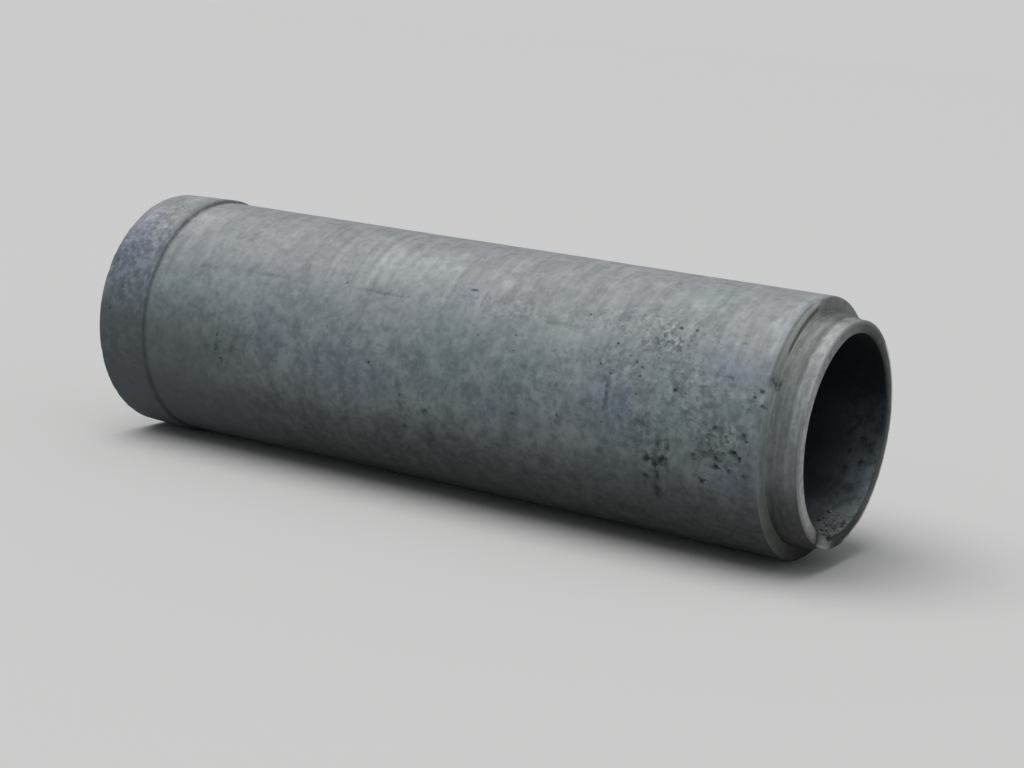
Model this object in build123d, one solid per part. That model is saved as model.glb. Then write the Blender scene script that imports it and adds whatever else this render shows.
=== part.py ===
from build123d import *
import os

# A precast concrete culvert pipe with a tongue and groove joint, in millimetres.
# It lies on its side: +X runs along it from the bell end to the tongue end, and +Z is up.
# The origin is the middle of its box, on the floor.

# Bore and wall of the barrel
bore_radius = 300.0
wall = 94.0

# Length that one pipe adds to a line of pipes, from the bell face to the shoulder
laying_length = 2440.0

# Tongue: the thinned end, with a rear land, an offset and a front land
tongue_length = 100.0
tip_wall = 40.0
offset_height = 7.0
offset_run = 8.0
rear_land_length = 54.0
tip_draft = 2.0

# Groove: the recess in the bell end that takes the next pipe's tongue
joint_clearance = 3.0
home_gap = 8.0
lead_in_length = 18.0
lead_in_height = 6.0

# Band that stands proud round the bell end, and the crease behind it
band_length = 192.0
band_height = 9.0
band_draft = 5.0
band_root_run = 5.0
crease_depth = 2.5
crease_run = 8.0

# Rounded and bevelled edges
bell_edge_round = 6.0
shoulder_round = 8.0
root_fillet = 4.0
rim_bevel = 5.0
bore_bevel = 4.0
ledge_bevel = 3.0

# Radii and places along the pipe that follow from these
barrel_radius = bore_radius + wall
front_land_radius = bore_radius + tip_wall
rear_land_radius = front_land_radius + offset_height
groove_radius = rear_land_radius + joint_clearance
mouth_radius = groove_radius + lead_in_height
groove_depth = tongue_length - home_gap
overall_length = laying_length + tongue_length
band_radius = barrel_radius + band_height

# Corners of the wall's section, as (distance from the bell face, distance from the axis)
mouth_corner = (0, mouth_radius)
bell_corner = (0, band_radius - band_draft)
band_corner = (band_length, band_radius)
crease_corner = (band_length + band_root_run, barrel_radius - crease_depth)
barrel_corner = (band_length + band_root_run + crease_run, barrel_radius)
shoulder_corner = (laying_length, barrel_radius)
tongue_root = (laying_length, rear_land_radius)
offset_corner = (laying_length + rear_land_length, rear_land_radius)
offset_foot = (laying_length + rear_land_length + offset_run, front_land_radius)
rim_corner = (overall_length, front_land_radius - tip_draft)
rim_bore_corner = (overall_length, bore_radius)
ledge_corner = (groove_depth, bore_radius)
groove_root = (groove_depth, groove_radius)
lead_in_corner = (lead_in_length, groove_radius)

# How much each corner is rounded or bevelled
rounds = [
    (bell_corner, bell_edge_round),
    (shoulder_corner, shoulder_round),
    (tongue_root, root_fillet),
    (groove_root, root_fillet),
]
bevels = [
    (rim_corner, rim_bevel),
    (rim_bore_corner, bore_bevel),
    (ledge_corner, ledge_bevel),
]


def wall_section():
    """The cut through the pipe's wall, above the axis, with sharp corners."""
    outside = [mouth_corner, bell_corner, band_corner, crease_corner, barrel_corner, shoulder_corner]
    tongue = [tongue_root, offset_corner, offset_foot, rim_corner]
    inside = [rim_bore_corner, ledge_corner, groove_root, lead_in_corner]
    return make_face(Polyline(*outside, *tongue, *inside, close=True))


def corner_of(section, place):
    """The section's corner at this place."""
    return section.vertices().sort_by_distance((*place, 0))[0]


def culvert_pipe():
    """The whole pipe, cast as one piece: its wall's section turned once round the axis."""
    section = wall_section()
    for place, radius in rounds:
        section = fillet(corner_of(section, place), radius)
    for place, length in bevels:
        section = chamfer(corner_of(section, place), length)
    pipe = revolve(section, axis=Axis.X)
    return Pos(-overall_length / 2, 0, band_radius) * pipe


os.makedirs("parts", exist_ok=True)
export_step(culvert_pipe(), "parts/culvert_pipe.step")
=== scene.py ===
import math
import random

import bmesh
import bpy
import numpy as np
from mathutils import Matrix, Vector, noise


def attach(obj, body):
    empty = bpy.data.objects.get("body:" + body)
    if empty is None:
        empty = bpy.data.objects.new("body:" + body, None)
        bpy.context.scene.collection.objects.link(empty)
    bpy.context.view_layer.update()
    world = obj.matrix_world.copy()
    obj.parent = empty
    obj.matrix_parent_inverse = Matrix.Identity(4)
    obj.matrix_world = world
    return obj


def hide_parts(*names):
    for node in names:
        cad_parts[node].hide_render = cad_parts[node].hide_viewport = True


# A weathered concrete culvert pipe that lies on its side, in metres.
# +X runs along it from the bell end to the tongue end, and +Z is up.
# A distance along the pipe is from its bell face.
# An angle round it is in degrees from its top towards -Y, the side that the camera sees.

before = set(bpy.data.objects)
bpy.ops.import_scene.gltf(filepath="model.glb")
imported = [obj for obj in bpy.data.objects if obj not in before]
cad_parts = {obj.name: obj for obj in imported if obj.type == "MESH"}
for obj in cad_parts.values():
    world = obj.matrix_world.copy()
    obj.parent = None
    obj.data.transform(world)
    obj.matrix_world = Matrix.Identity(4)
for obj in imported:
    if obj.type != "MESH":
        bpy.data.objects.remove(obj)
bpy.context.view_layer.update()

# The pipe's section, as distances from the bell face and from the axis
bore_radius = 0.300
barrel_radius = 0.394
front_land_radius = 0.340
rear_land_radius = 0.347
groove_radius = 0.350
mouth_radius = 0.356
band_radius = 0.403
bell_face_radius = 0.398
rim_radius = 0.338
groove_depth = 0.092
lead_in_length = 0.018
band_length = 0.192
band_root_run = 0.005
crease_run = 0.008
crease_depth = 0.0025
laying_length = 2.440
rear_land_end = 2.494
front_land_start = 2.502
overall_length = 2.540
lit_bore_start = 2.200

middle = overall_length / 2
axis_height = band_radius

# What lies further out than the first is the outside, and what lies nearer in than the second is the rim
outside_from = 0.370
rim_up_to = 0.345

# How fine the mesh is
columns = 176
corner_steps = 3

# Air holes that show in the photograph: place along, angle, radius and depth
seen_pits = [
    (2.268, 109, 0.0095, 0.007), (2.315, 101.5, 0.01, 0.007), (2.366, 94, 0.0115, 0.008),
    (2.385, 96, 0.0085, 0.006), (2.392, 86, 0.0095, 0.006), (2.401, 88.5, 0.006, 0.004),
    (2.352, 102, 0.007, 0.005), (2.301, 85, 0.007, 0.005), (2.312, 97.5, 0.007, 0.005),
    (2.24, 98, 0.0045, 0.004), (2.25, 91, 0.0045, 0.003), (2.275, 96, 0.005, 0.004),
    (2.285, 88.5, 0.005, 0.004), (2.33, 91, 0.0045, 0.003), (2.4, 103, 0.007, 0.004),
    (2.143, 103, 0.0115, 0.006), (2.096, 104, 0.008, 0.004), (2.116, 106.5, 0.006, 0.004),
    (2.083, 112, 0.0075, 0.004), (2.42, 67, 0.0075, 0.005), (2.405, 70, 0.006, 0.004),
    (2.431, 73, 0.0065, 0.004), (2.018, 64, 0.0055, 0.004), (2.04, 66, 0.005, 0.004),
    (2.04, 70, 0.006, 0.004), (2.16, 73, 0.0075, 0.005), (2.04, 77.5, 0.0045, 0.004),
    (1.79, 93, 0.006, 0.004), (2.112, 45, 0.0065, 0.004), (2.163, 45, 0.006, 0.004),
    (1.815, 46, 0.007, 0.003), (1.94, 57.5, 0.0055, 0.004), (1.944, 71, 0.0055, 0.003),
    (1.108, 86, 0.0065, 0.005), (0.946, 51, 0.006, 0.004), (1.636, 96, 0.005, 0.004),
    (1.602, 62, 0.005, 0.003), (1.61, 69, 0.0045, 0.003), (1.475, 65, 0.0055, 0.003),
    (1.24, 113, 0.0065, 0.003), (1.23, 98, 0.006, 0.003), (1.32, 103, 0.0065, 0.003),
    (0.504, 87, 0.006, 0.004), (0.5, 94, 0.006, 0.004), (0.522, 98, 0.0065, 0.004),
    (0.026, 60, 0.007, 0.003), (0.085, 73, 0.0075, 0.003), (0.045, 84, 0.0065, 0.003),
]

# Scratches: start along and angle, end along and angle, width and depth
scratches = [
    (1.388, 43.5, 1.408, 43.5, 0.009, 0.003),
]

# Patches of small air holes: middle along, middle angle, spread along, spread in degrees and count
pit_patches = [
    (2.32, 94, 0.05, 7, 26),
    (2.09, 53, 0.07, 4, 16),
    (2.15, 60, 0.11, 10, 12),
    (1.99, 98, 0.07, 6, 10),
    (0.56, 92, 0.05, 6, 12),
    (1.12, 54, 0.06, 3, 8),
    (1.35, 85, 0.25, 20, 10),
    (0.095, 60, 0.05, 40, 22),
    (0.095, -80, 0.05, 50, 22),
    (2.25, -70, 0.12, 18, 14),
    (1.3, -95, 0.3, 24, 14),
    (0.6, -50, 0.16, 24, 12),
    (1.4, 10, 0.6, 24, 14),
]

# Soft stains: place along, angle, half size along, half size round in metres, and strength
stains = {}
stains["pale"] = [
    (2.381, 33, 0.013, 0.038, 0.9), (2.395, 40, 0.012, 0.036, 0.9), (2.41, 47, 0.01, 0.03, 0.7),
    (2.14, 26, 0.09, 0.07, 0.45), (0.27, 25, 0.09, 0.09, 0.5), (0.1, 6, 0.06, 0.07, 0.5),
    (0.05, 33, 0.03, 0.03, 0.7), (0.12, 42, 0.03, 0.045, 0.6), (0.03, 50, 0.014, 0.05, 0.5),
    (2.345, 94.5, 0.006, 0.01, 0.9), (2.305, 92.5, 0.006, 0.011, 0.9), (2.318, 89.5, 0.009, 0.006, 0.8),
    (2.338, 98, 0.006, 0.01, 0.9), (2.298, 96, 0.005, 0.009, 0.8), (2.255, 91.5, 0.009, 0.006, 0.7),
    (2.28, 90, 0.009, 0.006, 0.8), (2.322, 102.5, 0.011, 0.005, 0.7), (2.235, 78, 0.009, 0.009, 0.9),
    (2.247, 76.5, 0.007, 0.007, 0.8), (2.36, 90.5, 0.01, 0.005, 0.5), (2.328, 94, 0.005, 0.009, 0.7),
    (2.265, 95, 0.006, 0.008, 0.6), (1.962, 81, 0.008, 0.062, 1), (1.48, 37, 0.06, 0.03, 0.5),
    (0.54, 68, 0.024, 0.018, 0.45), (1.15, 35, 0.22, 0.11, 0.75), (2.07, 53.5, 0.012, 0.006, 0.8),
    (2.096, 56.5, 0.011, 0.006, 0.8), (2.06, 56, 0.007, 0.005, 0.7), (2.115, 50, 0.01, 0.006, 0.6),
    (2.298, 48, 0.008, 0.007, 0.7), (2.31, 73.5, 0.012, 0.004, 0.5), (1.78, 56, 0.15, 0.06, 0.6),
    (2.3, -40, 0.1, 0.1, 0.4), (0.7, -30, 0.2, 0.08, 0.4),
]
stains["violet"] = [
    (2.3, 60, 0.11, 0.06, 1), (2.35, 107, 0.09, 0.05, 1), (1.96, 84, 0.11, 0.11, 0.9),
    (1.0, 92, 0.24, 0.12, 0.7), (0.06, 52, 0.07, 0.15, 1), (1.55, 95, 0.07, 0.06, 0.6),
    (0.72, 82, 0.12, 0.11, 0.5), (0.04, 30, 0.06, 0.08, 0.6), (0.33, 45, 0.08, 0.06, 0.4),
    (1.4, 46, 0.07, 0.03, 0.7), (1.93, 42, 0.03, 0.03, 0.6), (1.2, -80, 0.3, 0.15, 0.6),
    (0.1, -70, 0.09, 0.2, 0.7), (2.1, -60, 0.15, 0.1, 0.5),
]
stains["green"] = [
    (1.37, 80, 0.15, 0.23, 0.8), (2.37, 77, 0.09, 0.05, 1), (0.1, 88, 0.07, 0.08, 0.9),
    (2.16, 86, 0.06, 0.06, 0.8), (0.29, 66, 0.09, 0.07, 0.6), (0.5, 95, 0.11, 0.06, 0.7),
    (2.14, 24, 0.08, 0.09, 0.9), (1.65, 78, 0.08, 0.1, 0.6), (2.0, 112, 0.1, 0.04, 0.8),
    (2.12, 70, 0.06, 0.03, 0.7), (2.42, 30, 0.02, 0.1, 0.8), (0.7, -95, 0.2, 0.12, 0.7),
    (1.8, -100, 0.25, 0.12, 0.7),
]
stains["dark"] = [
    (2.366, 94, 0.018, 0.014, 1), (2.384, 96, 0.011, 0.011, 0.8), (2.314, 101.3, 0.013, 0.013, 1),
    (2.268, 109, 0.011, 0.012, 1), (2.395, 86.5, 0.019, 0.015, 0.8), (2.3, 85, 0.009, 0.009, 0.9),
    (2.352, 102, 0.011, 0.011, 0.6), (2.312, 97, 0.009, 0.01, 0.8), (2.325, 91.5, 0.008, 0.009, 0.8),
    (2.286, 92, 0.01, 0.008, 0.75), (2.275, 97, 0.008, 0.011, 0.65), (2.24, 98, 0.007, 0.007, 0.7),
    (2.29, 88, 0.009, 0.005, 0.6), (2.34, 88, 0.01, 0.006, 0.55), (2.325, 81.5, 0.012, 0.009, 0.5),
    (2.4, 103, 0.013, 0.01, 0.5), (2.333, 86, 0.014, 0.008, 0.45), (2.31, 94, 0.085, 0.06, 0.3),
    (2.245, 71, 0.013, 0.02, 0.55), (2.16, 72.5, 0.011, 0.01, 0.65), (2.018, 64, 0.009, 0.008, 0.6),
    (2.042, 66, 0.013, 0.006, 0.5), (2.04, 69.5, 0.01, 0.006, 0.4), (2.04, 77.3, 0.008, 0.007, 0.6),
    (2.112, 45, 0.01, 0.009, 0.55), (2.163, 45, 0.007, 0.008, 0.55), (2.07, 88.5, 0.023, 0.012, 0.75),
    (2.142, 82.5, 0.024, 0.008, 0.35), (2.013, 100, 0.017, 0.014, 0.5), (1.955, 100, 0.015, 0.014, 0.45),
    (1.935, 104.5, 0.018, 0.014, 0.45), (2.092, 103, 0.015, 0.024, 1), (2.128, 96, 0.013, 0.028, 1),
    (2.157, 96, 0.011, 0.024, 0.9), (2.145, 103, 0.02, 0.022, 1), (2.118, 106, 0.013, 0.017, 1),
    (2.123, 111, 0.015, 0.034, 1), (2.083, 112, 0.017, 0.013, 1), (2.118, 119, 0.016, 0.034, 1),
    (2.312, 43.5, 0.018, 0.004, 0.45), (2.32, 47.3, 0.016, 0.005, 0.55), (2.315, 63.3, 0.017, 0.005, 0.65),
    (2.333, 66.4, 0.019, 0.006, 0.65), (2.313, 69.4, 0.014, 0.005, 0.45), (2.421, 67.2, 0.011, 0.008, 0.75),
    (2.401, 70, 0.008, 0.006, 0.55), (2.432, 73, 0.009, 0.008, 0.55), (2.26, 88, 0.008, 0.006, 0.4),
    (1.945, 81, 0.011, 0.075, 1), (1.945, 71, 0.01, 0.008, 0.6), (1.947, 89, 0.01, 0.01, 0.45),
    (2.085, 53, 0.11, 0.045, 0.16), (2.075, 49, 0.01, 0.006, 0.5), (2.128, 50.5, 0.01, 0.007, 0.5),
    (2.065, 51.5, 0.009, 0.006, 0.5), (2.11, 53, 0.008, 0.008, 0.45), (2.05, 54, 0.009, 0.006, 0.45),
    (2.01, 53, 0.009, 0.007, 0.45), (1.94, 57.5, 0.009, 0.007, 0.6), (1.91, 52, 0.01, 0.006, 0.5),
    (2.03, 48, 0.01, 0.006, 0.4), (2.18, 52, 0.01, 0.006, 0.4), (2.07, 36, 0.007, 0.01, 0.35),
    (2.01, 16, 0.012, 0.012, 0.35), (2.29, 30, 0.012, 0.012, 0.25), (1.23, 103, 0.014, 0.06, 0.45),
    (1.24, 113, 0.014, 0.016, 0.45), (1.218, 92, 0.012, 0.03, 0.35), (1.328, 117, 0.024, 0.065, 0.5),
    (1.32, 103, 0.018, 0.016, 0.45), (1.44, 107, 0.034, 0.024, 0.35), (0.505, 91, 0.014, 0.045, 0.45),
    (0.57, 92, 0.014, 0.035, 0.45), (0.62, 90, 0.012, 0.035, 0.4), (0.585, 85, 0.012, 0.022, 0.4),
    (0.6, 98, 0.018, 0.016, 0.4), (0.522, 98, 0.014, 0.016, 0.4), (1.398, 43.5, 0.018, 0.008, 0.65),
    (0.77, 47, 0.026, 0.03, 0.22), (0.64, 40, 0.018, 0.026, 0.18), (1.108, 86, 0.01, 0.009, 0.5),
    (0.946, 51, 0.008, 0.006, 0.5), (1.636, 96, 0.01, 0.008, 0.4), (1.79, 93, 0.01, 0.009, 0.5),
    (1.62, 104, 0.045, 0.065, 0.25), (1.1, 72, 0.035, 0.014, 0.22), (0.06, 59, 0.045, 0.02, 0.45),
    (0.11, 66, 0.045, 0.018, 0.35), (0.09, 88, 0.06, 0.035, 0.4), (0.64, 54, 0.1, 0.009, 0.4),
    (1.09, 53, 0.13, 0.009, 0.35), (1.74, 53, 0.1, 0.009, 0.3), (0.4, 55, 0.07, 0.009, 0.35),
    (1.78, 88, 0.008, 0.02, 0.5), (1.56, 18, 0.02, 0.012, 0.2), (1.31, 20, 0.02, 0.012, 0.16),
    (0.9, -104, 0.016, 0.09, 0.4), (1.42, -98, 0.014, 0.07, 0.4), (1.98, -106, 0.018, 0.08, 0.4),
    (0.48, -112, 0.02, 0.06, 0.4), (2.2, -70, 0.1, 0.06, 0.22), (2.12, 107, 0.013, 0.095, 0.85),
]
stains["pocked"] = [
    (2.32, 93, 0.11, 0.1, 1), (2.3, 68, 0.11, 0.08, 0.5), (2.09, 52, 0.14, 0.07, 1),
    (2.02, 46, 0.32, 0.075, 0.6), (2.19, 70, 0.2, 0.16, 0.6), (2.125, 101, 0.08, 0.11, 0.8),
    (1.96, 66, 0.16, 0.12, 0.5), (2.4, 72, 0.05, 0.08, 0.75), (1.55, 49, 0.35, 0.06, 0.45),
    (2.05, 90, 0.14, 0.1, 0.5), (2.22, 84, 0.12, 0.08, 0.6), (1.78, 78, 0.15, 0.12, 0.3),
    (0.56, 91, 0.09, 0.06, 0.5), (1.25, 103, 0.1, 0.07, 0.35), (0.1, 40, 0.12, 0.3, 0.6),
    (1.15, 53, 0.1, 0.04, 0.3), (2.23, -66, 0.13, 0.11, 0.7), (1.25, -96, 0.25, 0.13, 0.5),
    (0.1, -70, 0.12, 0.3, 0.6), (0.56, -48, 0.2, 0.12, 0.4),
]

# The same on the face of the rim: angle, distance from the axis, half size round and half size across
rim_stains = {
    "pale": [
        (164, 0.337, 0.024, 0.008, 0.9), (162, 0.32, 0.01, 0.018, 0.6), (168, 0.299, 0.03, 0.004, 0.6),
        (203, 0.338, 0.04, 0.006, 0.5),
    ],
    "dark": [
        (169, 0.308, 0.03, 0.008, 0.8), (181, 0.325, 0.022, 0.018, 0.5), (192, 0.318, 0.04, 0.012, 0.5),
    ],
}

# Breaks in the edges: place along, distance from the axis, angle, direction out of the edge,
# half width, depth and roughness
edge_chips = [
    (overall_length, bore_radius, 171, (1, -1), 0.034, 0.012, 0.004),
    (overall_length, bore_radius, 190, (1, -1.2), 0.03, 0.009, 0.004),
    (overall_length, rim_radius, 179.5, (1, 1), 0.008, 0.008, 0.002),
    (overall_length, rim_radius, 156, (1, 1), 0.007, 0.007, 0.002),
    (overall_length, rim_radius, 203, (1, 1), 0.018, 0.005, 0.003),
    (laying_length, barrel_radius, 80, (1, 1), 0.012, 0.006, 0.002),
    (laying_length, barrel_radius, 40, (1, 1), 0.03, 0.004, 0.003),
]

# Edges that are worn all round: place along, distance from the axis, direction out of the edge and depth
worn_edges = [
    (overall_length, rim_radius, (1, 1), 0.0022),
    (overall_length, bore_radius, (1, -1), 0.002),
    (laying_length, barrel_radius, (1, 1), 0.003),
    (rear_land_end, rear_land_radius, (1, 1), 0.0014),
    (0, bell_face_radius, (-1, 1), 0.0032),
    (0, mouth_radius, (-1, -1), 0.0024),
    (band_length, band_radius, (1, 1), 0.002),
]

# Cracks across the rim: angle at the bore, angle at the outside, width and depth
rim_cracks = [(151, 154.8, 0.014, 0.018)]

# The stretch of the rim that is broken: its middle angle and half its length, in degrees
broken_rim_middle = 174
broken_rim_half = 28

# Loose crumbs in the bore's mouth: how many, their radii from least to most and how far in they lie
crumb_count = 110
crumb_radii = (0.0017, 0.0112)
crumb_places = (0.014, 0.104)


def section_corners():
    """The section's corners, from the bore round the bell end and the tongue and back.

    Each has its place, how far its rounding reaches and the cell size after it.
    """
    band_end = band_length + band_root_run
    return [
        (middle, bore_radius, 0, 0.05),
        (groove_depth, bore_radius, 0.0035, 0.015),
        (groove_depth, groove_radius, 0.004, 0.013),
        (lead_in_length, groove_radius, 0.003, 0.009),
        (0, mouth_radius, 0.003, 0.01),
        (0, bell_face_radius, 0.006, 0.01),
        (band_length, band_radius, 0.0035, 0.003),
        (band_end, barrel_radius - crease_depth, 0.0035, 0.004),
        (band_end + crease_run, barrel_radius, 0.005, 0.0145),
        (laying_length, barrel_radius, 0.007, 0.009),
        (laying_length, rear_land_radius, 0.004, 0.0032),
        (rear_land_end, rear_land_radius, 0.0025, 0.005),
        (front_land_start, front_land_radius, 0.0025, 0.0032),
        (overall_length, rim_radius, 0.005, 0.007),
        (overall_length, bore_radius, 0.005, 0.011),
        (lit_bore_start, bore_radius, 0, 0.05),
    ]


def softened(before, point, after):
    """Points round a corner, from one straight run to the next."""
    place, reach = Vector(point[:2]), point[2]
    if reach == 0:
        return [place]
    start = place + (Vector(before[:2]) - place).normalized() * reach
    end = place + (Vector(after[:2]) - place).normalized() * reach
    shares = [i / corner_steps for i in range(corner_steps + 1)]
    return [(1 - t) ** 2 * start + 2 * t * (1 - t) * place + t ** 2 * end for t in shares]


def section_path():
    """The section as a closed row of points, as fine as each run asks for."""
    corners = section_corners()
    count = len(corners)
    rounds = [softened(corners[i - 1], corners[i], corners[(i + 1) % count]) for i in range(count)]
    path = []
    for i, points in enumerate(rounds):
        path += points
        start, end, cell = points[-1], rounds[(i + 1) % count][0], corners[i][3]
        steps = max(1, round((end - start).length / cell))
        path += [start.lerp(end, k / steps) for k in range(1, steps)]
    return np.array([tuple(p) for p in path])


def outward(path):
    """The direction out of the concrete at each point of the section."""
    along = np.roll(path, -1, axis=0) - np.roll(path, 1, axis=0)
    along /= np.linalg.norm(along, axis=1)[:, None]
    return np.stack([-along[:, 1], along[:, 0]], axis=1)


def on_pipe(x, r, angle):
    """Points at these distances from the bell face and the axis, and at these angles in radians."""
    return np.stack([x - middle, -r * np.sin(angle), axis_height + r * np.cos(angle)], axis=-1)


def places_of(points):
    """Distance from the bell face, distance from the axis and angle in radians of each point."""
    y, z = -points[:, 1], points[:, 2] - axis_height
    return points[:, 0] + middle, np.hypot(y, z), np.arctan2(y, z)


def turn_from(angle, degrees):
    """How far each angle is from this many degrees, in radians from -pi to pi."""
    return (angle - math.radians(degrees) + math.pi) % (2 * math.pi) - math.pi


def round_from(angle, degrees):
    """How far each angle is from this many degrees, in metres round the barrel."""
    return turn_from(angle, degrees) * barrel_radius


def crack_distance(r, angle, inner, outer):
    """Distance from each place to the middle line of a crack across the rim."""
    share = np.clip((r - bore_radius) / (rim_radius - bore_radius), 0, 1)
    return np.abs(turn_from(angle - share * math.radians(outer - inner), inner)) * r


def smooth(low, high, value):
    """0 below low, 1 above high and a smooth step between them."""
    t = np.clip((value - low) / (high - low), 0, 1)
    return t * t * (3 - 2 * t)


def noise_at(points, scale, seed):
    """Smooth noise, about -1 to 1, at each point."""
    shift = Vector((seed * 3.1, seed * 7.7, seed * 1.3))
    return np.array([noise.noise(Vector(p) * scale + shift) for p in points])


def turned_mesh(path):
    """The section turned round the axis, with each vertex's place along the section in a layer."""
    bm = bmesh.new()
    layer = bm.verts.layers.float.new("station")
    angles = 2 * math.pi * np.arange(columns) / columns
    rings = []
    for station, (x, r) in enumerate([*path, path[0]]):
        ring = [bm.verts.new(p) for p in on_pipe(np.full(columns, x), np.full(columns, r), angles)]
        for vertex in ring:
            vertex[layer] = station
        rings.append(ring)
    for lower, upper in zip(rings, rings[1:]):
        for k in range(columns):
            n = (k + 1) % columns
            bm.faces.new((lower[k], upper[k], upper[n], lower[n]))
    return bm


def dash_distance(x, angle, dash):
    """Distance over the surface from each place to the middle line of a dash."""
    x0, a0, x1, a1 = dash[:4]
    run = np.array([x1 - x0, math.radians(a1 - a0) * barrel_radius])
    away = np.stack([x - x0, round_from(angle, a0)], axis=-1)
    share = np.clip(away @ run / (run @ run), 0, 1)
    return np.linalg.norm(away - share[..., None] * run, axis=-1)


def wants_detail(bm, level, pits):
    """Which faces are cut at this level: those near air holes, scratches, stains, chips and cracks."""
    x, r, angle = places_of(np.array([f.calc_center_median() for f in bm.faces]))
    outside = r > outside_from
    margin = (0.012, 0.004, 0.0015)[level]
    wanted = np.zeros(len(x), bool)
    for px, degrees, radius, _ in pits:
        far = np.hypot(x - px, round_from(angle, degrees))
        wanted |= (far < radius * 1.15 + margin) & outside
    for dash in scratches:
        wanted |= (dash_distance(x, angle, dash) < dash[4] / 2 + margin) & outside
    for px, degrees, along, around, _ in stains["dark"] + stains["pale"]:
        if min(along, around) < (0.03, 0.013, 0)[level]:
            far = np.hypot((x - px) / (along + margin), round_from(angle, degrees) / (around + margin))
            wanted |= (far < 1.1) & outside
    on_rim = (x > overall_length - 0.012) & (r < rim_up_to)
    if level < 2:
        wanted |= on_rim & (np.abs(turn_from(angle, broken_rim_middle)) < math.radians(broken_rim_half))
    for cx, cr, degrees, _, half, depth, _ in edge_chips:
        if level == 0 or depth > 0.0055 * level:
            near = np.hypot(x - cx, r - cr) < depth * 1.5 + 0.003
            wanted |= near & (np.abs(turn_from(angle, degrees)) * cr < half)
    for inner, outer, width, _ in rim_cracks:
        near = (x > overall_length - 0.03) & (r < rim_up_to)
        wanted |= near & (crack_distance(r, angle, inner, outer) < width / 2 + margin)
    return wanted


def with_lobes(pits, rng):
    """The air holes, each larger one with two smaller lobes that make its outline uneven."""
    lobed = []
    for px, degrees, radius, depth in pits:
        lobed.append((px, degrees, radius * 0.85, depth))
        for _ in range(2 if radius > 0.0055 else 0):
            way = rng.uniform(0, 2 * math.pi)
            far = rng.uniform(0.7, 1.2) * radius
            share = rng.uniform(0.35, 0.6)
            turn = math.degrees(far * math.sin(way) / barrel_radius)
            lobed.append((px + far * math.cos(way), degrees + turn, radius * share, depth * share))
    return lobed


def refine(bm, pits):
    """Makes the mesh finer round the detail, in three steps."""
    for level in range(3):
        wanted = wants_detail(bm, level, pits)
        edges = {e for f, hit in zip(bm.faces, wanted) if hit for e in f.edges}
        bmesh.ops.subdivide_edges(bm, edges=list(edges), cuts=1, use_grid_fill=True)


def random_pits(rng):
    """Small air holes scattered over the patches."""
    pits = []
    for x, angle, along, around, count in pit_patches:
        for _ in range(count):
            radius = rng.uniform(0.0018, 0.0042)
            place = (rng.gauss(x, along), rng.gauss(angle, around))
            pits.append((*place, radius, radius * rng.uniform(0.5, 0.8)))
    return [p for p in pits if 0.012 < p[0] < laying_length - 0.008]


def sink_pits(points, x, r, angle, pits, rng):
    """How far each vertex sinks in the air holes, and how deep in a hole it lies from 0 to 1, which the
    material paints as shade.
    """
    rough = 1 + 0.4 * noise_at(points, 100, 5) + 0.3 * noise_at(points, 250, 9)
    sink, cavity_shade = np.zeros(len(x)), np.zeros(len(x))
    for px, degrees, radius, depth in pits:
        lean, narrow = rng.uniform(0, math.pi), rng.uniform(0.62, 1)
        near = np.flatnonzero((np.abs(x - px) < 2 * radius) & (r > outside_from))
        near = near[np.abs(round_from(angle[near], degrees)) < 2 * radius]
        u, v = x[near] - px, round_from(angle[near], degrees)
        a = u * math.cos(lean) + v * math.sin(lean)
        b = (v * math.cos(lean) - u * math.sin(lean)) / narrow
        far = np.hypot(a, b) * rough[near] / radius
        sink[near] = np.maximum(sink[near], (1 - smooth(0.3, 1, far)) * depth)
        shade = min(1, radius / 0.006)
        cavity_shade[near] = np.maximum(cavity_shade[near], (1 - smooth(0.45, 1.05, far)) * shade)
    for dash in scratches:
        width, depth = dash[4:]
        far = dash_distance(x, angle, dash) * rough / (width / 2)
        groove = (1 - smooth(0.2, 1, far)) * (r > outside_from)
        sink = np.maximum(sink, groove * depth)
        cavity_shade = np.maximum(cavity_shade, 0.6 * groove)
    return sink, cavity_shade


def open_cracks(x, r, angle):
    """How far each vertex sinks in the cracks of the rim."""
    sink = np.zeros(len(x))
    fade = smooth(overall_length - 0.045, overall_length - 0.015, x) * (r < rim_up_to)
    for inner, outer, width, depth in rim_cracks:
        side = crack_distance(r, angle, inner, outer) / (width / 2)
        sink = np.maximum(sink, depth * np.clip(1 - side, 0, 1) ** 0.6 * fade)
    return sink


def pulled_back(points, x, r, angle, edge, depth):
    """Moves what stands out past a plane across an edge back to it. Returns how far each point went."""
    cx, cr, (dx, dr) = edge
    size = math.hypot(dx, dr)
    dx, dr = dx / size, dr / size
    out = (x - cx) * dx + (r - cr) * dr
    near = np.hypot(x - cx, r - cr) < 0.004 + 1.7 * depth
    excess = np.where(near & (depth > 0), np.clip(out + depth, 0, None), 0)
    direction = np.stack([np.full(len(x), dx), -dr * np.sin(angle), dr * np.cos(angle)], axis=1)
    points -= direction * excess[:, None]
    return excess


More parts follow.
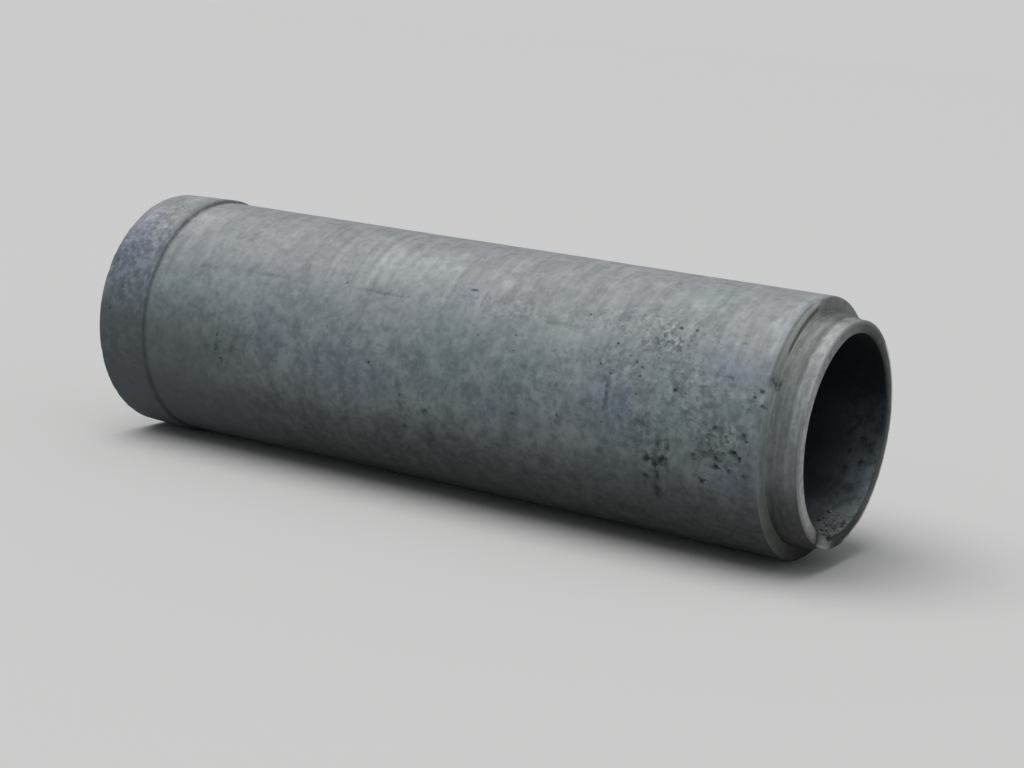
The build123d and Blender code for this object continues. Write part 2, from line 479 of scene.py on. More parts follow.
def break_edges(points, x, r, angle):
    """Wears the edges and breaks the chips out of them. Returns where the concrete is broken."""
    broken = np.zeros(len(x))
    coarse, fine = noise_at(points, 55, 11), noise_at(points, 150, 12)
    for i, (cx, cr, way, depth) in enumerate(worn_edges):
        ragged = 0.45 + 0.8 * noise_at(points, 14, 20 + i) + 0.6 * coarse + 0.3 * fine
        worn = depth * np.clip(ragged, 0, 1.8)
        excess = pulled_back(points, x, r, angle, (cx, cr, way), worn)
        broken = np.maximum(broken, 0.5 * smooth(0.0004, 0.0015, excess))
    for cx, cr, degrees, way, half, depth, rough in edge_chips:
        turn = turn_from(angle, degrees) * cr / half
        deep = depth * np.clip(1 - turn ** 2, 0, 1) ** 0.6 + rough * (0.6 * coarse + 0.4 * fine)
        deep = np.where(np.abs(turn) < 1, deep, 0)
        excess = pulled_back(points, x, r, angle, (cx, cr, way), deep)
        broken = np.maximum(broken, smooth(0.0003, 0.0015, excess))
    return broken


def unevenness(points, x, r, angle):
    """The cast surface's slow waves, and its roughness where the form left it rough."""
    waves = 0.0008 * noise_at(points, 2.3, 1) + 0.0003 * noise_at(points, 8, 2)
    lumps = 0.0006 * noise_at(points, 45, 3) + 0.0004 * noise_at(points, 95, 8)
    outside = r > outside_from
    band = (1 - smooth(band_length - 0.006, band_length, x)) * outside * (x > 0.002)
    crease = np.exp(-((x - band_length - 0.006) / 0.01) ** 2) * outside
    tongue = smooth(laying_length + 0.004, laying_length + 0.012, x)
    rings = 0.0005 * noise_at(np.stack([x, 0.06 * angle, 0 * x], axis=1), 45, 4)
    crumbs = 0.0026 * noise_at(points, 26, 6) + 0.0014 * noise_at(points, 75, 7) - 0.0012
    return waves + lumps * (0.35 + 1.3 * band) + rings * tongue + crumbs * crease


def stain_masks(points, x, r, angle):
    """How strongly each kind of stain colours each vertex, from 0 to 1. The dark one also holds painted
    shade in the crease behind the band.
    """
    ragged = 0.4 * noise_at(points, 30, 31) + 0.25 * noise_at(points, 80, 32)
    masks = {}
    for name, patches in stains.items():
        mask = np.zeros(len(x))
        for px, degrees, along, around, strength in patches:
            far = np.hypot((x - px) / along, round_from(angle, degrees) / around) + ragged
            mask = np.maximum(mask, strength * (1 - smooth(0.2, 1.15, far)) * (r > outside_from))
        masks[name] = mask
    # Painted shade and dirt in the crease behind the band, strongest near the top.
    crease = np.exp(-((x - band_length + 0.002) / 0.016) ** 2) * (r > outside_from)
    above = 0.15 + 0.85 * smooth(math.radians(80), math.radians(35), np.abs(angle))
    masks["dark"] = np.maximum(masks["dark"], 0.5 * crease * above * (1 + 0.6 * ragged))
    face_spot = np.hypot((x - laying_length) / 0.014, turn_from(angle, 61) * outside_from / 0.02) + ragged
    masks["dark"] = np.maximum(masks["dark"], 0.95 * (1 - smooth(0.3, 1.1, face_spot)))
    on_rim = (x > overall_length - 0.014) & (r < rim_up_to)
    for name, patches in rim_stains.items():
        for degrees, radius, around, across, strength in patches:
            far = np.hypot(turn_from(angle, degrees) * radius / around, (r - radius) / across) + 0.5 * ragged
            masks[name] = np.maximum(masks[name], strength * (1 - smooth(0.3, 1.1, far)) * on_rim)
    return masks


def finished_points(bm, path, pits):
    """Every vertex's place on the finished surface, with the masks that the material reads."""
    layer = bm.verts.layers.float["station"]
    stations = np.array([v[layer] for v in bm.verts])
    angle = places_of(np.array([v.co for v in bm.verts]))[2]
    looped = np.arange(len(path) + 1)
    rows = np.hstack([path, outward(path)])
    rows = np.vstack([rows, rows[:1]])
    x, r, nx, nr = (np.interp(stations, looped, rows[:, i]) for i in range(4))
    points = on_pipe(x, r, angle)
    sink, cavity_shade = sink_pits(points, x, r, angle, pits, random.Random(3))
    crack = open_cracks(x, r, angle)
    lift = unevenness(points, x, r, angle) - sink - crack
    masks = stain_masks(points, x, r, angle)
    out = np.stack([nx, -nr * np.sin(angle), nr * np.cos(angle)], axis=1)
    points = points + out * lift[:, None]
    masks["broken"] = break_edges(points, x, r, angle)
    masks["cavity_shade"] = np.maximum(cavity_shade, smooth(0.001, 0.004, crack))
    return points, masks


def made_object(name, bm, material):
    """A new object in the scene, from the mesh as it was worked out."""
    mesh = bpy.data.meshes.new(name)
    bm.to_mesh(mesh)
    bm.free()
    mesh.materials.append(material)
    thing = bpy.data.objects.new(name, mesh)
    bpy.context.scene.collection.objects.link(thing)
    return thing


def cleaned(mesh):
    """Joins the section's two ends and cuts the faces with many corners into triangles."""
    bm = bmesh.new()
    bm.from_mesh(mesh)
    bmesh.ops.remove_doubles(bm, verts=bm.verts, dist=0.00001)
    bmesh.ops.triangulate(bm, faces=[f for f in bm.faces if len(f.verts) > 4])
    bmesh.ops.recalc_face_normals(bm, faces=bm.faces)
    bm.to_mesh(mesh)
    bm.free()


def make_pipe(material):
    """The whole pipe as one closed mesh."""
    pits = with_lobes(seen_pits, random.Random(5)) + random_pits(random.Random(7))
    path = section_path()
    bm = turned_mesh(path)
    refine(bm, pits)
    points, masks = finished_points(bm, path, pits)
    pipe = made_object("pipe_concrete", bm, material)
    mesh = pipe.data
    mesh.vertices.foreach_set("co", points.astype(np.float32).ravel())
    for name, values in masks.items():
        attribute = mesh.attributes.new(name, "FLOAT", "POINT")
        attribute.data.foreach_set("value", np.asarray(values, np.float32))
    cleaned(mesh)
    mesh.shade_smooth()
    mesh.update()
    return pipe


class Nodes:
    """The nodes of one material, and short ways to add them."""

    def __init__(self, name):
        self.material = bpy.data.materials.new(name)
        self.material.use_nodes = True
        self.tree = self.material.node_tree
        self.shader = self.tree.nodes["Principled BSDF"]
        self.find_places()

    def find_places(self):
        """Distances from the bell face, the rim and the axis, and degrees from the top and their cosine."""
        place = self.add("ShaderNodeTexCoord", {}, "Object")
        along, y, z = self.add("ShaderNodeSeparateXYZ", {0: place}).node.outputs
        self.x = self.math("ADD", along, middle)
        self.from_rim = self.math("SUBTRACT", middle, along)
        up = self.math("SUBTRACT", z, axis_height)
        self.radius = self.math("SQRT", self.math("ADD", self.times(y, y), self.times(up, up)))
        self.upward = self.math("DIVIDE", up, self.radius)
        self.turn = self.times(self.math("ARCTAN2", self.times(y, -1), up), 180 / math.pi)

    def put(self, value, socket):
        """Links an output to the socket, or sets the socket's value. A colour is three numbers."""
        if isinstance(value, bpy.types.NodeSocket):
            self.tree.links.new(value, socket)
        elif socket.type == "RGBA":
            socket.default_value = (*value, 1)
        else:
            socket.default_value = value

    def add(self, kind, inputs, output=0, **settings):
        """A node with these inputs and settings. Returns one of its outputs."""
        node = self.tree.nodes.new(kind)
        for name, value in settings.items():
            setattr(node, name, value)
        for key, value in inputs.items():
            self.put(value, node.inputs[key])
        return node.outputs[output]

    def math(self, operation, a, b=0.0):
        return self.add("ShaderNodeMath", {0: a, 1: b}, operation=operation)

    def times(self, *values):
        """All the values multiplied."""
        result = values[0]
        for value in values[1:]:
            result = self.math("MULTIPLY", result, value)
        return result

    def mix(self, factor, a, b, blend="MIX"):
        """A mix of two colours."""
        return self.add("ShaderNodeMix", {0: factor, 6: a, 7: b}, 2, data_type="RGBA", blend_type=blend)

    def shaded(self, colour, tone, cover=1):
        """The colour multiplied by a tone, as far as the cover says."""
        return self.mix(cover, colour, tone, "MULTIPLY")

    def layered(self, colour, layers):
        """The colour with layers over it. Each is a tint and the values whose product is its cover."""
        for tint, *cover in layers:
            colour = self.mix(self.times(*cover), colour, tint)
        return colour

    def stretched(self, scale, shift=0.0):
        """Places on the object, scaled along its three axes and shifted."""
        place = self.add("ShaderNodeTexCoord", {}, "Object")
        return self.add("ShaderNodeMapping", {"Vector": place, "Location": (shift,) * 3, "Scale": scale})

    def noise(self, scale, detail=4.0, rough=0.55, where=(1, 1, 1), twist=0.0, shift=0.0):
        """Noise from 0 to 1, stretched along the axes by where."""
        inputs = {"Vector": self.stretched(where, shift), "Scale": scale, "Detail": detail}
        inputs |= {"Roughness": rough, "Distortion": twist}
        return self.add("ShaderNodeTexNoise", inputs)

    def dots(self, scale, small, large, share):
        """Scattered round dots: 1 in a dot and 0 outside it. Share is how many cells have one."""
        inputs = {"Vector": self.stretched((1, 1, 1)), "Scale": scale}
        cell = self.add("ShaderNodeTexVoronoi", inputs, "Color")
        chance = self.add("ShaderNodeSeparateColor", {0: cell})
        size = self.ramp(chance, 1 - share, 1, small, large)
        inside = self.math("SUBTRACT", size, cell.node.outputs["Distance"])
        there = self.math("GREATER_THAN", chance, 1 - share)
        return self.times(self.ramp(inside, 0, 0.08), there)

    def ramp(self, value, low, high, start=0.0, end=1.0):
        """Start below low, end above high, smooth between."""
        inputs = {"Value": value, "From Min": low, "From Max": high, "To Min": start, "To Max": end}
        return self.add("ShaderNodeMapRange", inputs, interpolation_type="SMOOTHSTEP")

    def line(self, value, place, half):
        """1 where the value is at this place, fading to 0 at half a width from it."""
        away = self.math("ABSOLUTE", self.math("SUBTRACT", value, place))
        return self.ramp(away, half, 0.3 * half)

    def window(self, value, low, high, fade):
        """1 from low to high, fading to 0 outside them."""
        return self.times(self.ramp(value, low - fade, low), self.ramp(value, high + fade, high))

    def curve(self, value, stops):
        """A colour that changes smoothly with the value, from stops of a value and its colour."""
        low, high = stops[0][0], stops[-1][0]
        share = self.add("ShaderNodeMapRange", {"Value": value, "From Min": low, "From Max": high})
        tone = self.add("ShaderNodeValToRGB", {0: share})
        row = tone.node.color_ramp.elements
        row[0].color = (*stops[0][1], 1)
        row[1].color = (*stops[-1][1], 1)
        for place, colour in stops[1:-1]:
            row.new((place - low) / (high - low)).color = (*colour, 1)
        return tone

    def mask(self, name):
        """How strongly the mesh says that this is there, from 0 to 1."""
        return self.add("ShaderNodeAttribute", {}, "Fac", attribute_name=name)

    def bump(self, height, distance, strength, below=None):
        """Fine relief, on top of the relief below it."""
        inputs = {"Height": height, "Distance": distance, "Strength": strength}
        if below is not None:
            inputs["Normal"] = below
        return self.add("ShaderNodeBump", inputs)

    def finished(self, inputs):
        """The material, with these inputs of its shader."""
        for name, value in inputs.items():
            self.put(value, self.shader.inputs[name])
        return self.material


def cast_colour(n):
    """The barrel's grey: cloudy and mottled, with the hoop streaks that its form left."""
    clouds = n.noise(3.2, 3, 0.5)
    patches = n.noise(11, 2, 0.45, where=(1.2, 0.9, 0.9), twist=0.3)
    mottle = n.noise(27, 2, 0.5)
    spots = n.noise(60, 2, 0.5, shift=4)
    grain = n.noise(330, 2, 0.6)
    hoops = n.noise(1, 3, 0.5, where=(32, 2.4, 2.4))
    thin_hoops = n.noise(1, 1.5, 0.5, where=(56, 5, 5), shift=2)
    lit = n.ramp(n.upward, 0.35, 0.8, 0.35, 1)
    low = n.ramp(n.upward, 0.7, 0.1, 0.7, 1.35)
    colour = n.mix(n.ramp(clouds, 0.35, 0.65), (0.275, 0.3, 0.312), (0.298, 0.312, 0.333))
    return n.layered(colour, [
        ((0.375, 0.398, 0.412), n.ramp(patches, 0.47, 0.7), 0.38, low),
        ((0.205, 0.222, 0.237), n.ramp(patches, 0.51, 0.28), 0.32, low),
        ((0.195, 0.208, 0.226), n.ramp(hoops, 0.5, 0.7), 0.55, lit),
        ((0.4, 0.42, 0.432), n.ramp(hoops, 0.46, 0.28), 0.55, lit),
        ((0.42, 0.435, 0.445), n.ramp(thin_hoops, 0.54, 0.7), 0.2, lit),
        ((0.2, 0.215, 0.232), n.ramp(thin_hoops, 0.46, 0.3), 0.2, lit),
        ((0.19, 0.206, 0.222), n.ramp(mottle, 0.5, 0.72), 0.55, low),
        ((0.415, 0.435, 0.448), n.ramp(mottle, 0.5, 0.28), 0.48, low),
        ((0.18, 0.195, 0.212), n.ramp(spots, 0.54, 0.7), 0.42, low),
        ((0.42, 0.435, 0.445), n.ramp(spots, 0.46, 0.3), 0.32, low),
        ((0.42, 0.435, 0.45), n.ramp(grain, 0.45, 0.75), 0.12),
    ])


# How much of its colour the surface keeps, by the cosine of the angle from the top: painted shade, with some
# dirt, that darkens the sides and the underside
shade_and_dirt_by_height = [
    (-1, (0.13, 0.13, 0.13)), (-0.6, (0.18, 0.19, 0.18)), (-0.42, (0.26, 0.28, 0.28)),
    (-0.26, (0.43, 0.47, 0.48)), (0, (0.51, 0.56, 0.57)), (0.26, (0.6, 0.66, 0.67)),
    (0.5, (0.78, 0.82, 0.83)), (0.6, (0.86, 0.88, 0.89)), (0.68, (0.98, 0.98, 0.98)),
    (0.88, (1.11, 1.09, 1.08)), (1, (0.98, 0.97, 0.96)),
]

# How much darker the band round the bell end is, by the cosine of the angle from the top: painted shade,
# none at the top and most low down
band_painted_shade = [
    (-1, (0.85,) * 3), (-0.34, (0.8,) * 3), (0, (0.5,) * 3), (0.17, (0.38,) * 3),
    (0.5, (0.4,) * 3), (0.66, (0.34,) * 3), (0.8, (0.14,) * 3), (0.88, (0.04,) * 3), (1, (0,) * 3),
]


def pocked(n, colour):
    """Close dark and light spots where the surface is pocked. Returns the dark ones too."""
    zone = n.mask("pocked")
    small = n.ramp(n.noise(60, 2, 0.5, shift=1.7), 0.53, 0.61)
    large = n.ramp(n.noise(30, 2, 0.5, shift=5.2), 0.57, 0.66)
    light = n.ramp(n.noise(56, 2, 0.5, shift=7.3), 0.53, 0.62)
    dark = n.times(zone, n.math("MAXIMUM", small, large))
    deeper = n.shaded(colour, (0.42, 0.44, 0.48))
    colour = n.shaded(colour, (1.42, 1.42, 1.37), n.times(zone, light, 0.9))
    return n.mix(n.times(dark, 0.72), colour, deeper), dark


def stained_and_shaded(n, colour):
    """The soft stains of the photographed side, and painted shade on the band round the bell end, low on the
    barrel beside it and in the crease behind it.
    """
    for name, tone, strength in (
        ("green", (0.9, 0.98, 0.96), 0.9),
        ("violet", (0.93, 0.94, 1.05), 0.9),
        ("pale", (1.4, 1.44, 1.38), 0.7),
    ):
        colour = n.shaded(colour, tone, n.times(n.mask(name), strength))
    on_band = n.ramp(n.x, band_length, band_length - 0.008)
    colour = n.shaded(colour, (0.98, 0.98, 1.05), n.times(on_band, n.window(n.upward, 0.25, 0.72, 0.2)))
    blotches = n.ramp(n.noise(34, 3, 0.6), 0.38, 0.62, 0.45, 1.45)
    broken_up = n.ramp(n.noise(70, 3, 0.6), 0.34, 0.6, 0.45, 1)
    # The colour of the dark stains and of the painted shade in the crease, darker low down.
    dirt_and_shade = n.mix(n.ramp(n.upward, 0.12, -0.22), (0.06, 0.07, 0.082), (0.017, 0.021, 0.024))
    return n.layered(colour, [
        # Painted shade on the band round the bell end, broken up by blotches.
        ((0.044, 0.056, 0.074), on_band, n.curve(n.upward, band_painted_shade), blotches),
        # Painted shade low on the barrel beside the band, fading along it.
        ((0.076, 0.087, 0.091), n.ramp(n.x, 0.87, 0.27), n.ramp(n.upward, 0.5, -0.1), 0.68),
        (dirt_and_shade, n.mask("dark"), broken_up),
    ])


# Painted light and shade on the flat ring face of the shoulder, by the degrees from the top
shoulder_painted_light = [
    (-180, (0.3, 0.31, 0.3)), (-20, (0.3, 0.31, 0.3)), (8, (0.31, 0.325, 0.32)),
    (16, (0.53, 0.545, 0.54)), (40, (0.66, 0.675, 0.67)), (58, (0.57, 0.58, 0.57)), (72, (0.53, 0.54, 0.54)),
    (86, (0.48, 0.5, 0.49)), (100, (0.48, 0.51, 0.49)), (112, (0.6, 0.64, 0.61)),
    (122, (0.8, 0.84, 0.79)), (150, (0.75, 0.78, 0.74)), (180, (0.3, 0.31, 0.3)),
]


def shoulder_colour(n, colour):
    """The ring face of the shoulder, with painted light and shade round it, and near the top a painted
    shadow line, paler outside it.
    """
    tone = n.curve(n.turn, shoulder_painted_light)
    face = n.shaded(tone, (0.6, 0.6, 0.6), n.ramp(n.noise(26, 4, 0.6), 0.4, 0.66, 0, 0.5))
    near_top = n.window(n.turn, 14, 42, 7)
    shadow_line_radius = n.math("SUBTRACT", barrel_radius - 0.016, n.times(n.turn, 0.00038))
    from_shadow_line = n.math("SUBTRACT", n.radius, shadow_line_radius)
    # Near the top: paler outside the line, and the line itself a painted shadow.
    face = n.layered(face, [
        ((0.6, 0.62, 0.61), near_top, n.ramp(from_shadow_line, 0.002, 0.014), 0.8),
        ((0.105, 0.115, 0.112), near_top, n.line(from_shadow_line, -0.003, 0.012), 0.85),
    ])
    back = n.ramp(n.x, laying_length - 0.0028, laying_length - 0.0005)
    front = n.ramp(n.x, laying_length + 0.003, laying_length + 0.001)
    seam = n.line(n.x, laying_length - 0.0055, 0.008)
    return n.layered(colour, [
        (face, back, front),
        ((0.105, 0.12, 0.118), seam, n.window(n.turn, 20, 56, 8), 0.6),
    ])


def tongue_colour(n, colour):
    """The tongue's lands: warm grey behind, paler in front, with soft streaks round them."""
    streaks = n.noise(1, 2, 0.5, where=(44, 2.6, 2.6))
    fine_streaks = n.noise(1, 2, 0.5, where=(150, 7, 7))
    blotches = n.noise(16, 4, 0.6)
    mottle = n.noise(36, 3, 0.58, where=(1.9, 0.8, 0.8), twist=0.3)
    low = n.ramp(n.upward, 0.45, 0)
    rear = n.mix(low, (0.21, 0.222, 0.216), (0.275, 0.275, 0.275))
    front = n.mix(low, (0.375, 0.39, 0.39), (0.35, 0.35, 0.35))
    tongue = n.mix(n.ramp(n.x, rear_land_end - 0.002, rear_land_end + 0.014), rear, front)
    top = n.times(n.ramp(n.turn, -40, -20), n.ramp(n.turn, 20, 4))
    tongue = n.shaded(tongue, (0.62, 0.62, 0.62), top)
    darker = n.shaded(tongue, (0.7, 0.7, 0.7))
    paler = n.shaded(tongue, (1.32, 1.32, 1.3))
    tongue = n.layered(tongue, [
        (paler, n.ramp(streaks, 0.52, 0.68), 0.85),
        (darker, n.ramp(streaks, 0.48, 0.32), 0.75),
        (paler, n.ramp(fine_streaks, 0.55, 0.75), 0.3),
        (darker, n.ramp(blotches, 0.5, 0.7), 0.6),
        (darker, n.ramp(mottle, 0.49, 0.38), 0.5),
        (paler, n.ramp(mottle, 0.51, 0.62), 0.5),
    ])
    # Painted light near the root, from the top round to the side the camera sees, over the shade in the
    # corner.
    root = n.times(n.ramp(n.x, laying_length + 0.022, laying_length + 0.004), n.window(n.turn, 12, 122, 10))
    tongue = n.shaded(tongue, (1.65, 1.65, 1.6), root)
    tip = n.times(n.ramp(n.from_rim, 0.016, 0.006), n.window(n.turn, 74, 134, 12), 0.85)
    there = n.times(n.ramp(n.x, laying_length + 0.0012, laying_length + 0.003), 0.95)
    return n.mix(there, colour, n.mix(tip, tongue, darker))


# Painted light and shade on the flat face of the rim, by the degrees from the top
rim_painted_light = [
    (-180, (0.06, 0.06, 0.058)), (-170, (0.055, 0.055, 0.053)), (-162, (0.06, 0.06, 0.058)),
    (-154, (0.085, 0.085, 0.083)), (-142, (0.13, 0.13, 0.128)), (-130, (0.132, 0.135, 0.133)),
    (-90, (0.118, 0.122, 0.122)), (-70, (0.124, 0.128, 0.128)), (-45, (0.1, 0.103, 0.105)),
    (-10, (0.115, 0.118, 0.12)), (8, (0.2, 0.202, 0.21)), (20, (0.235, 0.24, 0.25)),
    (55, (0.38, 0.385, 0.4)), (80, (0.46, 0.47, 0.48)), (125, (0.47, 0.475, 0.47)),
    (138, (0.4, 0.402, 0.395)), (145, (0.3, 0.302, 0.295)), (149.5, (0.2, 0.2, 0.195)),
    (152, (0.1, 0.1, 0.098)), (156.5, (0.12, 0.12, 0.117)), (158.5, (0.26, 0.26, 0.25)),
    (170, (0.25, 0.25, 0.24)), (172.5, (0.2, 0.2, 0.195)), (175, (0.075, 0.075, 0.073)),
    (180, (0.06, 0.06, 0.058)),
]


def rim_colour(n, colour):
    """The face of the rim, with painted light and shade that make it brightest on the left, and a painted
    highlight along its outer edge on the right.
    """
    face = n.curve(n.turn, rim_painted_light)
    darker = n.shaded(face, (0.62, 0.63, 0.64))
    face = n.layered(face, [
        (darker, n.ramp(n.noise(30, 4, 0.65), 0.45, 0.68)),
        # Painted shade next to the bore.
        (darker, n.ramp(n.radius, bore_radius + 0.01, bore_radius + 0.003), 0.5),
    ])
    # Painted shade near the bore on the right and near the outer edge on the left.
    inner = n.ramp(n.radius, bore_radius + 0.022, bore_radius - 0.001)
    face = n.shaded(face, (0.45, 0.45, 0.45), n.times(inner, n.window(n.turn, -92, -25, 22)))
    outer = n.ramp(n.radius, rim_radius - 0.016, rim_radius + 0.001)
    face = n.shaded(face, (0.55, 0.55, 0.55), n.times(outer, n.window(n.turn, 78, 143, 14)))
    front = n.ramp(n.from_rim, 0.0065, 0.0035)
    edge = n.ramp(n.radius, rim_radius - 0.016, rim_radius - 0.002)
    painted_lit_side = n.math("ADD", n.window(n.turn, -160, 32, 10), n.window(n.turn, 158, 170, 3))
    line = n.times(n.ramp(n.from_rim, 0.0095, 0.0065), n.window(n.turn, -162, -48, 12))
    highlight_edge = n.ramp(n.radius, rim_radius - 0.0125, rim_radius - 0.008)
    ragged = n.ramp(n.noise(26, 3, 0.6), 0.36, 0.56, 0.5, 1)
    return n.layered(colour, [
        (face, front, n.ramp(n.radius, bore_radius - 0.003, bore_radius), 0.95),
        # Painted highlights along the outer edge of the rim on the right.
        ((0.42, 0.43, 0.42), front, edge, painted_lit_side, 0.5),
        ((0.68, 0.71, 0.69), line, highlight_edge, ragged),
    ])


# How much of its colour the bore keeps, by the cosine of the angle from the top: painted shade, darkest at
# the top
bore_painted_shade = [
    (-1, (0.5, 0.52, 0.51)), (-0.86, (0.5, 0.53, 0.54)), (-0.64, (0.27, 0.3, 0.33)),
    (-0.34, (0.162, 0.185, 0.204)), (0, (0.108, 0.132, 0.148)), (0.3, (0.024, 0.038, 0.044)),
    (0.6, (0.007, 0.014, 0.017)), (1, (0.005, 0.011, 0.013)),
]


def bore_colour(n, colour):
    """The bore: painted shade, most at the top and deeper in; painted light low down on the right and near
    its mouth; dark spots, and dust and dirt at the bottom.
    """
    lumps = n.noise(34, 3, 0.55)
    grit = n.noise(58, 3, 0.55, shift=3)
    bore = n.mix(n.ramp(n.noise(9, 4, 0.55), 0.36, 0.64), (0.22, 0.235, 0.245), (0.36, 0.375, 0.385))
    bore = n.shaded(bore, n.curve(n.upward, bore_painted_shade))
    # Painted light low down on the right and at the mouth.
    painted_lit_side = n.times(n.window(n.turn, -166, -80, 18), n.ramp(n.from_rim, 0.19, 0.05))
    bore = n.shaded(bore, (1.72, 1.78, 1.8), n.times(painted_lit_side, n.ramp(lumps, 0.66, 0.38)))
    spotted = n.times(n.window(n.turn, -118, -80, 8), n.ramp(n.from_rim, 0.15, 0.09))
    bore = n.mix(n.times(spotted, n.ramp(lumps, 0.58, 0.66), 0.85), bore, (0.02, 0.024, 0.04))
    painted_lit_mouth = n.times(n.window(n.turn, -134, -108, 14), n.ramp(n.from_rim, 0.04, 0.012))
    bore = n.shaded(bore, (1.72, 1.72, 1.66), painted_lit_mouth)
    # Painted shade deeper in.
    deep = n.times(n.ramp(n.from_rim, 0.03, 0.27), n.ramp(n.x, 0.1, 0.32))
    dusty = n.times(n.ramp(n.upward, -0.84, -0.95), n.ramp(n.from_rim, 0.15, 0.05))
    dirty = n.times(n.ramp(n.upward, -0.86, -0.96), n.ramp(n.from_rim, 0.13, 0.05))
    bed = n.times(n.ramp(n.upward, -0.86, -0.94), n.ramp(n.from_rim, 0.12, 0.06), 0.72)
    bore = n.layered(bore, [
        ((0.011, 0.02, 0.026), deep, 0.6),
        ((0.255, 0.262, 0.248), dusty, n.ramp(lumps, 0.46, 0.56), 0.8),
        ((0.05, 0.049, 0.044), dirty, n.ramp(lumps, 0.46, 0.38), 0.75),
        ((0.28, 0.31, 0.3), bed, n.ramp(grit, 0.5, 0.6)),
        ((0.04, 0.044, 0.043), bed, n.ramp(grit, 0.47, 0.38)),
    ])
    inside = n.ramp(n.radius, bore_radius + 0.006, bore_radius + 0.001)
    return n.mix(n.times(inside, n.ramp(n.from_rim, 0.002, 0.007)), colour, bore)


def concrete():
    """Old grey concrete, from its colour to its fine relief."""
    n = Nodes("concrete")
    ragged = n.times(n.math("SUBTRACT", n.noise(9, 3, 0.55), 0.5), 0.2)
    # Darker down the sides and underneath: painted shade, with some dirt.
    shade_and_dirt = n.curve(n.math("ADD", n.upward, ragged), shade_and_dirt_by_height)
    colour = tongue_colour(n, shoulder_colour(n, cast_colour(n)))
    colour = rim_colour(n, n.shaded(colour, shade_and_dirt))
    colour, spots = pocked(n, colour)
    colour = bore_colour(n, stained_and_shaded(n, colour))
    stony = n.mix(n.ramp(n.noise(120, 4, 0.7), 0.4, 0.62), (0.24, 0.24, 0.23), (0.42, 0.42, 0.4))
    holes = n.dots(85, 0.08, 0.24, 0.22)
    colour = n.layered(colour, [
        (n.shaded(stony, shade_and_dirt, 0.8), n.mask("broken"), n.ramp(n.from_rim, 0.09, 0.03, 0.55, 0.12)),
        ((0.085, 0.095, 0.105), holes, 0.35),
        # Painted shade in the air holes, scratches and cracks.
        ((0.055, 0.065, 0.075), n.mask("cavity_shade"), 0.7),
    ])
    roughness = n.ramp(n.noise(90, 3, 0.6), 0.25, 0.75, 0.8, 0.95)
    normal = n.bump(n.noise(45, 4, 0.6), 0.004, 0.25)
    normal = n.bump(n.noise(330, 3, 0.7), 0.0012, 0.35, normal)
    normal = n.bump(n.math("SUBTRACT", 1, spots), 0.003, 0.5, normal)
    normal = n.bump(n.math("SUBTRACT", 1, holes), 0.0015, 0.5, normal)
    looks = {"Base Color": colour, "Roughness": roughness, "Specular IOR Level": 0.3, "Normal": normal}
    return n.finished(looks)


def crumb(bm, place, size, rng):
    """An angular lump of broken concrete."""
    made = bmesh.ops.create_icosphere(bm, subdivisions=2, radius=size)
    squash = Vector((rng.uniform(0.7, 1.4), rng.uniform(0.7, 1.4), rng.uniform(0.35, 0.8)))
    shift = Vector((rng.uniform(0, 50),) * 3)
    for vertex in made["verts"]:
        way = vertex.co / size
        rough = 1 + 0.55 * noise.noise(way * 1.3 + shift) + 0.25 * noise.noise(way * 3 + shift)
        vertex.co = place + vertex.co * squash * rough


def make_crumbs(material):
    """Loose crumbs and dirt that lie in the bottom of the bore, just inside its mouth."""
    rng = random.Random(21)
    bm = bmesh.new()
    smallest, largest = crumb_radii
    nearest, furthest = crumb_places
    for _ in range(crumb_count):
        size = smallest + (largest - smallest) * rng.random() ** 4
        x = overall_length - nearest - (furthest - nearest) * rng.random() ** 1.3
        angle = math.radians(rng.gauss(181, 10))
        crumb(bm, Vector(on_pipe(x, bore_radius, angle)), size, rng)
    return made_object("bore_crumbs", bm, material)


def crumb_material():
    """Pale grey lumps of broken concrete among dark dirt."""
    n = Nodes("loose_crumbs")
    colour = n.mix(n.ramp(n.noise(28, 2, 0.5), 0.42, 0.56), (0.09, 0.09, 0.08), (0.31, 0.32, 0.3))
    normal = n.bump(n.noise(400, 3, 0.6), 0.001, 0.5)
    return n.finished({"Base Color": colour, "Roughness": 0.95, "Normal": normal})


def make_floor():
    """A wide level floor."""
    bm = bmesh.new()
    bmesh.ops.create_grid(bm, x_segments=1, y_segments=1, size=60)
    matt = Nodes("floor_plain").finished({"Base Color": (0.64, 0.64, 0.63), "Roughness": 0.9})
    made_object("floor", bm, matt)


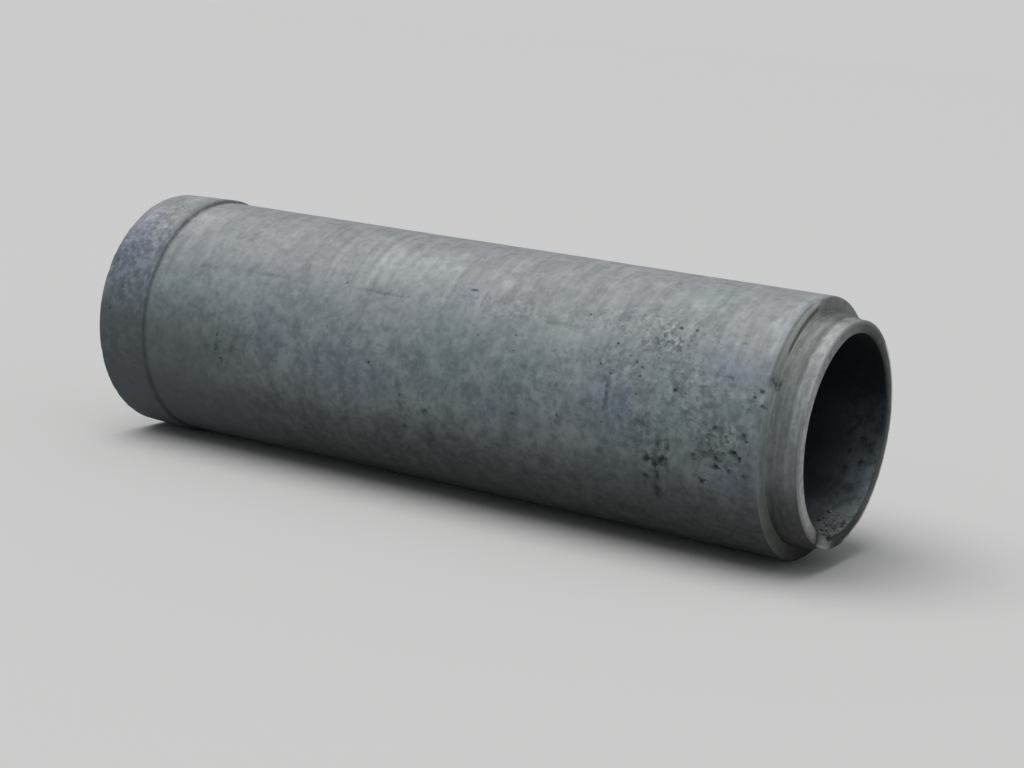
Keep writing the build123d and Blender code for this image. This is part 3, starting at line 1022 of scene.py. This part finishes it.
# The camera's place, the point it looks at, its roll and its lens
camera_place = Vector((3.517, -5.642, 1.613))
camera_target = Vector((0.123, 0, 0.363))
camera_roll = 4.56
camera_lens = 74


def make_camera():
    """The camera at the photograph's viewing angle, with a longer lens."""
    data = bpy.data.cameras.new("camera")
    data.lens = camera_lens
    camera = bpy.data.objects.new("camera", data)
    look = (camera_target - camera_place).to_track_quat("-Z", "Y").to_matrix().to_4x4()
    roll = Matrix.Rotation(math.radians(camera_roll), 4, "Z")
    camera.matrix_world = Matrix.Translation(camera_place) @ look @ roll
    bpy.context.scene.collection.objects.link(camera)
    bpy.context.scene.camera = camera


def make_light():
    """A very soft light from high above, a little to the camera's left."""
    data = bpy.data.lights.new("sky_light", "SUN")
    data.energy = 2
    data.angle = math.radians(60)
    data.color = (1, 0.995, 0.985)
    light = bpy.data.objects.new("sky_light", data)
    light.matrix_world = Vector((-0.25, -0.3, 1)).to_track_quat("Z", "Y").to_matrix().to_4x4()
    bpy.context.scene.collection.objects.link(light)


def make_world():
    """An even dim surrounding light, behind a backdrop as pale as the lit floor."""
    world = bpy.data.worlds.new("studio")
    world.use_nodes = True
    tree = world.node_tree
    light = tree.nodes["Background"]
    light.inputs["Color"].default_value = (0.95, 0.98, 1, 1)
    light.inputs["Strength"].default_value = 0.36
    backdrop = tree.nodes.new("ShaderNodeBackground")
    backdrop.inputs["Color"].default_value = (0.594, 0.6, 0.594, 1)
    seen = tree.nodes.new("ShaderNodeLightPath")
    mix = tree.nodes.new("ShaderNodeMixShader")
    tree.links.new(seen.outputs["Is Camera Ray"], mix.inputs[0])
    tree.links.new(light.outputs[0], mix.inputs[1])
    tree.links.new(backdrop.outputs[0], mix.inputs[2])
    tree.links.new(mix.outputs[0], tree.nodes["World Output"].inputs[0])
    bpy.context.scene.world = world
    bpy.context.scene.view_settings.view_transform = "Standard"


make_camera()
make_light()
make_world()
make_floor()
pipe = make_pipe(concrete())
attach(pipe, "root")
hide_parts("culvert_pipe")
crumbs = make_crumbs(crumb_material())
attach(crumbs, "root")
